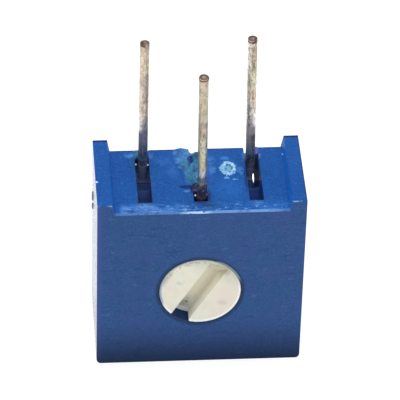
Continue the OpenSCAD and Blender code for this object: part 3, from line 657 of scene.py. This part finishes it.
spilt = start("epoxy_spilt_rough_turquoise")
ragged = wander(spilt, 4.0, 0.12)
slanted = add(spilt.tree, "ShaderNodeVectorMath", {0: ragged, 1: (0.80, -0.60, 0)},
              out="Value", operation="DOT_PRODUCT")
near_pin = where(spilt, (slanted, -1.55, -0.85))
edge = add(spilt.tree, "ShaderNodeAttribute", out=2, attribute_name="rim")
broken_edge = add(spilt.tree, "ShaderNodeMath", {
    0: edge, 1: patches(spilt, 5, 0.3, 0.7), 2: edge}, operation="MULTIPLY_ADD")
SPILL_MARKS = [  # centre, half size, softness, strength, colour
    ((-0.42, -0.30), (0.36, 0.24, 0.4), 0.8, 1.0, "#1c5882"),  # thin end by the crack
    # painted shade: the hole beside the wire is painted dark
    ((-0.32, 1.14), (0.13, 0.40, 0.4), 0.6, 0.8, "#0c3a6c"),  # hole beside the wire
    ((-0.28, 1.38), (0.16, 0.38, 0.4), 0.4, 1.0, "#001e5c"),
    ((-0.12, 1.50), (0.12, 0.40, 0.4), 0.6, 0.7, "#17557c"),
    ((-0.20, 0.55), (0.10, 0.14, 0.4), 0.6, 1.0, "#144c70"),
    ((0.02, 0.10), (0.12, 0.16, 0.4), 0.6, 0.8, "#74a8bc"),
    ((-0.40, -0.05), (0.16, 0.12, 0.4), 0.7, 0.6, "#24707a"),
    ((-0.62, 2.22), (0.45, 0.22, 0.4), 0.8, 0.8, "#35607e"),  # lump on the back edge
    ((0.02, 1.60), (0.16, 0.42, 0.4), 0.7, 0.9, "#0f3a58"),
]
colour = layered(
    spilt, "#4076ac", (patches(spilt, 2.2, 0.42, 0.62), 0.8, "#2f68a6"),
    (patches(spilt, 6.0, 0.50, 0.66, moved=4), "#5080b4"),
    (near_pin, 0.9, "#215c86"),
    (near_pin, patches(spilt, 4.5, 0.45, 0.60), "#2f7399"),
    (near_pin, patches(spilt, 5.0, 0.52, 0.64, moved=9), "#144a70"),
    (patches(spilt, 9.0, 0.60, 0.72, moved=2), 0.7, "#6a9cc0"),
    ((broken_edge, 0.75, 1.25), (spilt.x, -0.35, -0.75), "#10509a"),
    *marks(spilt, ragged, SPILL_MARKS),
    ((spilt.x, -1.8, -1.9),  # the films at the outer slots
     layered(spilt, "#1d5078", (patches(spilt, 5, 0.45, 0.60), "#2c6690"))),
    ((spilt.x, 1.8, 1.9),
     layered(spilt, "#3c4c86", (patches(spilt, 6, 0.45, 0.60), "#6474a8"))))
spilt_epoxy = finish(spilt, colour, 0.5, patches(spilt, 7, 0.3, 0.7, detail=4), 0.02,
                     Specular_IOR_Level=0.15)

# %% [markdown]
# ## Materials inside the case
# What sits inside is hidden at rest, and still gets what it really is. The ceramic plate is
# fired alumina, white and finely granular; the track on it is a dark fired cermet film; the
# conductors are fired silver-palladium, a dull grey metal; the wiper is stamped from a
# copper-nickel spring sheet, with rolling lines; solder is smooth and bright; the seal is black
# nitrile rubber.

# %% Inner materials
INNER = {  # ground, second colour, grains per mm, bump mm, roughness, metal
    "alumina_fired_white": ("#eae7df", "#dedad0", 12, 0.004, 0.6, 0.0),
    "cermet_film_fired": ("#3a393b", "#4b4845", 16, 0.006, 0.45, 0.0),
    "silver_palladium_film_fired": ("#b9b7b0", "#a5a29b", 14, 0.004, 0.45, 1.0),
    "copper_nickel_spring_sheet_stamped": ("#cbb584", "#bda272", 10, 0.003, 0.3, 1.0),
    "tin_solder_reflowed": ("#b4b4b6", "#9c9ca0", 5, 0.01, 0.25, 1.0),
    "nitrile_rubber_moulded_black": ("#1d1d1f", "#28282a", 8, 0.004, 0.7, 0.0),
}
inner = {}
for name, (ground, second, per_mm, depth, rough, metal) in INNER.items():
    m = start(name)
    drawn = (1, 1, 0.15) if "sheet" in name else (1, 1, 1)
    colour = layered(m, ground, (patches(m, per_mm, 0.4, 0.65, stretch=drawn), second))
    inner[name] = finish(m, colour, rough, patches(m, per_mm, 0.3, 0.7, stretch=drawn), depth,
                         Metallic=metal)

# %% Materials on the CAD nodes
alumina, cermet, film, spring, solder, rubber = inner.values()
finishes = {
    "housing": blue_case, "rotor": cream_rotor, "potting_seal": cast_epoxy, **wires,
    "rotor_seal_ring": rubber, "wiper_spring": spring, "element_substrate": alumina,
    "resistive_track": cermet, "collector_pad": film, "termination_pad_left": film,
    "termination_pad_right": film, "solder_joint_left": solder, "solder_joint_middle": solder,
    "solder_joint_right": solder}
for name, node in nodes.items():
    node.data.materials.clear()
    node.data.materials.append(finishes[name])
print("materials on", len(finishes), "CAD nodes")

# %% [markdown]
# ## The epoxy spill
# Beside the middle pin the epoxy welled up out of the slot, ran over the pin face and hung over
# the back edge before it set. It is a polar grid: an outline drawn through a few places, rings
# that shrink towards its middle, and a height that is full inside and falls steeply at the rim.
# Random hills make it lumpy, and a few placed dips and bumps make the hole beside the wire and
# the lump on the back edge. The rim ends just below the face of the case, so that no gap shows.

# %% Shapes for poured and torn stuff
def closed_curve(places, count):
    """Points on a smooth closed curve through the given places: the periodic Catmull-Rom cubic,
    half of (2b + (c-a)f + (2a-5b+4c-d)f^2 + (3b-a-3c+d)f^3) between b and c."""
    p = np.asarray(places, float)
    t = np.arange(count) * len(p) / count
    i = t.astype(int)
    f = (t - i)[:, None]
    a, b, c, d = (p[(i + k) % len(p)] for k in (-1, 0, 1, 2))
    return 0.5 * (2 * b + (c - a) * f + (2 * a - 5 * b + 4 * c - d) * f ** 2
                  + (3 * b - a - 3 * c + d) * f ** 3)

def lumps(x, y, size, seed):
    """Soft random hills between about -1 and 1 and some `size` mm across: eight sine waves, each
    with its own random direction, length and phase."""
    rng = np.random.default_rng(seed)
    turn, phase = rng.uniform(0, 2 * math.pi, (2, 8, *[1] * np.ndim(x)))
    wave = 2 * math.pi / (size * rng.uniform(0.8, 2.5, turn.shape))
    return np.sin(wave * (np.cos(turn) * x + np.sin(turn) * y) + phase).sum(0) / 3

def case_top(y):
    """Height of the case: the pin face, then the chamfer that slopes down to the back."""
    return PIN_FACE_Z - np.maximum(y - (BACK_Y - BACK_CHAMFER), 0)

LEAST = 0.01  # mm, the thinnest that a drop gets
LUMPS = ((0.35, 0.45), (0.2, 0.16))  # share of the drop's height, size in mm

def puddle(name, outline, centre, height, sink, seed, dips=(), rings=30, spokes=120):
    """A closed drop on the case. A top point lies at centre + s (outline - centre) for s from 0
    to 1, and stands (1 - s^6)^(1/2) (height + lumps - dips) above the case less the sink; a dip
    is depth e^-(r^2) about its own centre. The underside is flat, a little below."""
    rim = closed_curve(outline, spokes)
    middle = np.asarray(centre, float)
    s = np.concatenate([[0], np.linspace(0, 1, rings + 1)[1:], [0.6, 0.3, 0]])
    xy = middle + s[:, None, None] * (rim - middle)
    x, y = xy[..., 0], xy[..., 1]
    full = np.sqrt(np.clip(1 - s ** 6, 0, 1))[:, None]
    rise = height
    for i, (share, size) in enumerate(LUMPS):
        rise = rise + share * height * lumps(x, y, size, seed + i)
    for (dx, dy), (rx, ry), depth in dips:
        rise = rise - depth * np.exp(-((x - dx) / rx) ** 2 - ((y - dy) / ry) ** 2)
    floor_z = case_top(y) - sink
    up = floor_z + full * np.maximum(rise + sink, LEAST)
    up[rings + 1:] = (floor_z - LEAST)[rings + 1:]
    rows = np.dstack([x, y, up])
    points = np.vstack([rows[0, :1], rows[1:-1].reshape(-1, 3), rows[-1, :1]])
    piece = build_mesh(name, points, shell_faces(len(rows) - 2, spokes))
    rim = np.concatenate([s[:1], np.repeat(s[1:-1], spokes), s[-1:]])
    piece.data.attributes.new("rim", "FLOAT", "POINT").data.foreach_set("value", rim)
    return piece

def dress(piece, material):
    """Gives a new piece its material and the body that it moves with."""
    piece.data.materials.append(material)
    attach(piece, "case")
    print(piece.name, len(piece.data.polygons), "faces")

# %% The spill on the pin face
spill = puddle("epoxy_spill", [
    (-1.10, 2.02), (-0.98, 2.24), (-0.62, 2.36), (-0.42, 2.22), (-0.33, 2.02), (-0.18, 1.86),
    (0.05, 1.98), (0.26, 1.90), (0.30, 1.30), (0.27, 0.60), (0.20, 0.15), (0.02, -0.10),
    (-0.15, -0.30), (-0.38, -0.44), (-0.60, -0.42), (-0.70, -0.18), (-0.72, 0.12),
    (-0.80, 0.42), (-0.93, 0.66), (-0.98, 0.98), (-1.12, 1.20), (-1.16, 1.60)],
    centre=(-0.42, 1.05), height=0.06, sink=0.05, seed=3, dips=[
        ((-0.28, 1.38), (0.10, 0.28), 0.16), ((-0.70, 2.15), (0.26, 0.16), -0.07),
        ((-0.20, 0.55), (0.09, 0.12), 0.05), ((-0.55, 0.95), (0.12, 0.16), -0.03),
        ((0.00, 0.15), (0.10, 0.14), -0.03)])
dress(spill, spilt_epoxy)

# %% [markdown]
# ## Epoxy films at the outer slots
# At the back ends of the left and the right slot a thin skin of epoxy closes the mouth and laps
# on to the face. It is the same kind of puddle, thinner and flatter.

# %% Films
FILMS = {  # outline, centre, height, sink, seed
    "epoxy_film_left": ([
        (-2.92, 1.50), (-3.00, 1.90), (-2.96, 2.22), (-2.70, 2.34), (-2.40, 2.28),
        (-2.24, 2.05), (-2.22, 1.75), (-2.35, 1.55), (-2.55, 1.66), (-2.75, 1.62)],
        (-2.60, 1.95), 0.02, 0.14, 11),
    "epoxy_film_right": ([
        (2.54, 1.84), (2.60, 2.12), (2.72, 2.32), (2.86, 2.34), (2.94, 2.10), (2.92, 1.86),
        (2.82, 1.68), (2.68, 1.66)],
        (2.75, 1.98), 0.03, 0.10, 13),
}
for name, shape in FILMS.items():
    dress(puddle(name, *shape, rings=14, spokes=60), spilt_epoxy)

# %% [markdown]
# ## The gate vestige
# The case was filled through a small gate on the pin face. Where the sprue was torn off, a ragged
# rim of stress-whitened plastic stands round a shallow dish. It is a ring grid: an ellipse of
# small round sections, whose size wanders as it goes round.

# %% Gate vestige
torn = start("polyester_torn_stress_white")
colour = layered(torn, "#7fb4dc", (patches(torn, 6, 0.40, 0.62), "#a6d2ec"),
                 ((torn.x, 1.45, 1.10), patches(torn, 4, 0.35, 0.60), "#5c9cc8"),
                 (patches(torn, 9, 0.52, 0.66, moved=3), "#4f8cc6"))
torn_white = finish(torn, colour, 0.6, patches(torn, 12, 0.3, 0.7), 0.02,
                    Specular_IOR_Level=0.3)

SUNK = 0.005  # mm, how far the ring's middle lies below the face

def gate_ring(name, centre, half_x, half_y, thick, high, seed):
    """A torn ring: round the angle t, sections at the ellipse (half_x cos t, half_y sin t), each
    an oval `thick` wide and `high` tall times a random swelling, half sunk in the face."""
    rng = np.random.default_rng(seed)
    sections, points_round = 72, 14
    t = np.linspace(0, 2 * math.pi, sections, endpoint=False)[:, None]
    p = np.linspace(0, 2 * math.pi, points_round, endpoint=False)[None, :]
    swell = 1 + 0.25 * np.cos(t - 3.6) + 0.18 * np.sin(5 * t + rng.uniform(0, 6)) \
        + 0.12 * np.sin(11 * t + rng.uniform(0, 6))
    jitter = 1 + 0.18 * rng.standard_normal((sections, points_round))
    out = thick / 2 * swell * jitter * np.cos(p)
    x = centre[0] + (half_x + out) * np.cos(t)
    y = centre[1] + (half_y + out) * np.sin(t)
    z = PIN_FACE_Z - SUNK + high * swell * jitter * np.sin(p)
    points = np.stack([x, y, z], -1).reshape(-1, 3)
    return build_mesh(name, points, ring_faces(sections, points_round))

vestige = gate_ring("gate_vestige", (1.41, 0.68), 0.26, 0.40, 0.23, 0.045, seed=5)
dress(vestige, torn_white)

# %% [markdown]
# ## Cut wire ends
# Side cutters pinch a wire and leave a burr: the end is a little flared, domed and brown, where
# bare copper and burnt flux show. Each end is a shell of rings about the wire's own axis, with
# radii that follow a small profile and wobble at random.

# %% Wire ends
burnt = start("copper_cut_tarnished")
ragged = wander(burnt, 8.0, 0.04)
END_MARKS = [  # centre, half size, softness, strength, colour
    ((-2.50, 1.36, 15.88), (0.24, 0.24, 0.16), 0.8, 0.8, "#78624e"),
    ((-2.42, 1.20, 15.80), (0.13, 0.14, 0.09), 0.7, 1.0, "#e0ccb4"),
    ((-2.62, 1.30, 15.84), (0.14, 0.22, 0.14), 0.6, 1.0, "#3a2e28"),
    ((-0.03, -1.38, 15.93), (0.12, 0.16, 0.10), 0.7, 1.0, "#8f7a62"),
    ((2.36, 1.24, 16.05), (0.13, 0.13, 0.10), 0.8, 1.0, "#8c6c66"),
]
colour = layered(
    burnt, "#5c4733", ((burnt.x, 1.5, 2.0), "#463238"),
    (patches(burnt, 8, 0.42, 0.60), "#443428"), ((burnt.nz, 0.35, 0.0), "#6e5a4c"),
    *marks(burnt, ragged, END_MARKS))
tarnish = finish(burnt, colour, 0.5, patches(burnt, 9, 0.3, 0.7), 0.02, Metallic=0.4)

CUT_FACE = 0.03  # mm, what counts as the very end of a wire

def wire_end(name, pin, seed):
    """A burr on the end of a pin: rings of radius r at a height h along the wire's axis, for
    the profile (r, h) below in shares of the wire's radius, each ring wobbling at random."""
    profile = np.array([(0.45, 0.06), (0.80, 0.02), (0.98, -0.10), (1.05, -0.28), (1.05, -0.45),
                        (0.98, -0.62), (0.80, -0.70), (0.40, -0.72)])
    co = np.empty(len(nodes[pin].data.vertices) * 3, np.float32)
    nodes[pin].data.vertices.foreach_get("co", co)
    co = co.reshape(-1, 3) / MM
    tip = co[co[:, 2] > co[:, 2].max() - CUT_FACE]
    centre = (tip.min(0) + tip.max(0)) / 2
    axis = np.array(mounts[pin]["axis"])
    radius = mounts[pin]["dims"]["r_mm"]
    side = np.cross([0, 1, 0], axis)
    side /= np.linalg.norm(side)
    across = np.cross(axis, side)
    rng = np.random.default_rng(seed)
    t = np.linspace(0, 2 * math.pi, 28, endpoint=False)
    wobble = 1 + 0.05 * np.sin(2 * t + rng.uniform(0, 6)) \
        + 0.03 * np.sin(3 * t + rng.uniform(0, 6))
    r = radius * profile[:, :1] * wobble
    h = radius * (profile[:, 1:] + 0.12 * np.sin(t + rng.uniform(0, 6)) * profile[:, :1])
    rings = centre + (r * np.cos(t))[..., None] * side + (r * np.sin(t))[..., None] * across \
        + h[..., None] * axis
    poles = centre + radius * np.array([[0.08], [-0.72]]) * axis
    points = np.vstack([poles[:1], rings.reshape(-1, 3), poles[1:]])
    return build_mesh(name, points, shell_faces(len(profile), len(t)))

for pin, seed in (("pin_left", 21), ("pin_middle", 22), ("pin_right", 23)):
    dress(wire_end(pin.replace("pin", "cut_end"), pin, seed), tarnish)

# %% [markdown]
# ## Crumbs of flux
# A few pale crumbs of resin flux stick beside the pins. Each is a small ball of rings with its
# points pushed in and out at random, and all are one piece.

# %% Crumbs
resin = start("resin_flux_dried_pale")
colour = layered(resin, "#cfd6e6", (patches(resin, 9, 0.4, 0.6), "#aab4cc"))
pale_resin = finish(resin, colour, 0.4, patches(resin, 12, 0.3, 0.7), 0.01)

def crumbs(name, places, seed):
    """Small lumps: for each (x, y, z, size), a globe of 5 rings of 10 points, each point at the
    size times a random share between 0.75 and 1.15 from the centre."""
    rng = np.random.default_rng(seed)
    rings, spokes = 5, 10
    lat = np.linspace(0, math.pi, rings + 2)[1:-1, None]
    lon = np.linspace(0, 2 * math.pi, spokes, endpoint=False)[None, :]
    ball = np.stack([np.sin(lat) * np.cos(lon), np.sin(lat) * np.sin(lon),
                     np.cos(lat) + 0 * lon], -1).reshape(-1, 3)
    ball = np.vstack([[0, 0, 1], ball, [0, 0, -1]])
    points, faces = [], []
    for *centre, size in places:
        faces += shell_faces(rings, spokes, first=len(ball) * len(points))
        points.append(centre + size * ball * rng.uniform(0.75, 1.15, (len(ball), 1)))
    return build_mesh(name, np.vstack(points), faces)

flux = crumbs("flux_crumbs", [
    (-0.24, -1.20, 9.03, 0.055), (0.28, -1.12, 9.00, 0.035),
    (-2.82, 1.15, 9.03, 0.045), (-2.28, 1.10, 9.03, 0.055)],
    seed=8)
dress(flux, pale_resin)

# %% [markdown]
# ## A run of solder on the right pin
# Inside the right slot a thread of solder runs down the front of the wire to the epoxy below. Its
# slope throws the sky back at the viewer, so it is the one bright line in the dark slot. It is a
# slim shell along a short slanting line.

# %% Solder run
def thread(name, start_at, end_at, half_wide, half_thick):
    """A slim flattened drop from one point to another: oval rings about the line, sized by
    (1 - |2s - 1|^4)^(1/2), where s goes from 0 to 1 along it."""
    a, b = np.array(start_at, float), np.array(end_at, float)
    line = (b - a) / np.linalg.norm(b - a)
    side = np.cross(line, [0, 0, 1])
    side /= np.linalg.norm(side)
    across = np.cross(line, side)
    rows, spokes = 14, 16
    s = np.linspace(0, 1, rows + 2)[1:-1, None]
    t = np.linspace(0, 2 * math.pi, spokes, endpoint=False)[None, :]
    swell = np.sqrt(1 - np.abs(2 * s - 1) ** 4)
    rings = a + (s * (b - a))[:, None, :] - (half_wide * swell * np.cos(t))[..., None] * side \
        + (half_thick * swell * np.sin(t))[..., None] * across
    points = np.vstack([[a], rings.reshape(-1, 3), [b]])
    return build_mesh(name, points, shell_faces(rows, spokes))

bright = start("tin_solder_bright")
colour = layered(bright, "#f2f4f8", (patches(bright, 8, 0.55, 0.75), "#d4d8e0"))
bright_solder = finish(bright, colour, 0.2, patches(bright, 6, 0.3, 0.7), 0.005, Metallic=1.0)
run = thread("solder_run", (2.60, 1.14, 8.37), (2.60, 0.64, 8.13), 0.075, 0.05)
dress(run, bright_solder)

# %% [markdown]
# ## Dark flakes on the left wall
# Two thin dark flakes are stuck upright on the left wall, at its back edge, and stand a little
# proud of it. Each is the same slim drop as the solder, laid along the edge.

# %% Flakes
flake_look = start("flake_matt_black")
colour = layered(flake_look, "#1a1613", (patches(flake_look, 6, 0.42, 0.60), "#2c2723"))
flake_black = finish(flake_look, colour, 0.9, patches(flake_look, 9, 0.3, 0.7), 0.01,
                    Specular_IOR_Level=0.2)
# two thin dark flakes that make a dark line along the wall's back edge
for name, low, high in (("dark_flake_low", 5.44, 5.82), ("dark_flake_high", 5.94, 6.52)):
    dress(thread(name, (-4.774, 2.375, low), (-4.772, 2.375, high), 0.03, 0.017), flake_black)
